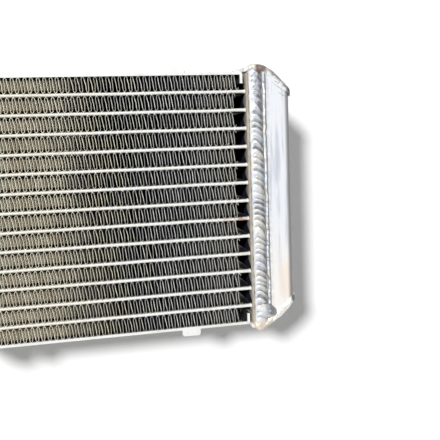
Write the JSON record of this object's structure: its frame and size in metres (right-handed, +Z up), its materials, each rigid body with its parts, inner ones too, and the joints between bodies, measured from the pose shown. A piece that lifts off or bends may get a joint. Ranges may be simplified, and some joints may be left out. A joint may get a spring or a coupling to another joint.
{
  "type": "radiator",
  "caption": "Welded aluminium cross-flow radiator: flat tubes and folded fins between two folded side tanks, with a hose spigot on the back of each.",
  "frame": {"origin": "centre of the core, half way between the headers, the side plates and the core's front and back faces", "axes": "+X along the tubes towards the outlet tank, +Y from the front face to the back, +Z up"},
  "size_m": [0.2076, 0.0602, 0.149],
  "materials": {
    "fin": "dull sheet",
    "tube": "brazed sheet, bright edges",
    "weld": "rippled weld metal",
    "tank": "brushed sheet",
    "header": "dull sheet",
    "plate": "plain sheet",
    "spigot": "turned"
  },
  "bodies": {
    "root": {"corner_weld_left_bottom": "weld", "corner_weld_left_top": "weld", "corner_weld_right_bottom": "weld", "corner_weld_right_top": "weld", "end_cap_left_bottom": "tank", "end_cap_left_top": "tank", "end_cap_right_bottom": "tank", "end_cap_right_top": "tank", "fin_01": "fin", "fin_02": "fin", "fin_03": "fin", "fin_04": "fin", "fin_05": "fin", "fin_06": "fin", "fin_07": "fin", "fin_08": "fin", "fin_09": "fin", "fin_10": "fin", "fin_11": "fin", "fin_12": "fin", "fin_13": "fin", "fin_14": "fin", "header_left": "header", "header_right": "header", "inlet_spigot": "spigot", "outlet_spigot": "spigot", "seam_weld_left_back": "weld", "seam_weld_left_front": "weld", "seam_weld_right_back": "weld", "seam_weld_right_front": "weld", "side_plate_bottom": "plate", "side_plate_top": "plate", "tank_left": "tank", "tank_right": "tank", "tube_01": "tube", "tube_02": "tube", "tube_03": "tube", "tube_04": "tube", "tube_05": "tube", "tube_06": "tube", "tube_07": "tube", "tube_08": "tube", "tube_09": "tube", "tube_10": "tube", "tube_11": "tube", "tube_12": "tube", "tube_13": "tube"}
  },
  "joints": []
}
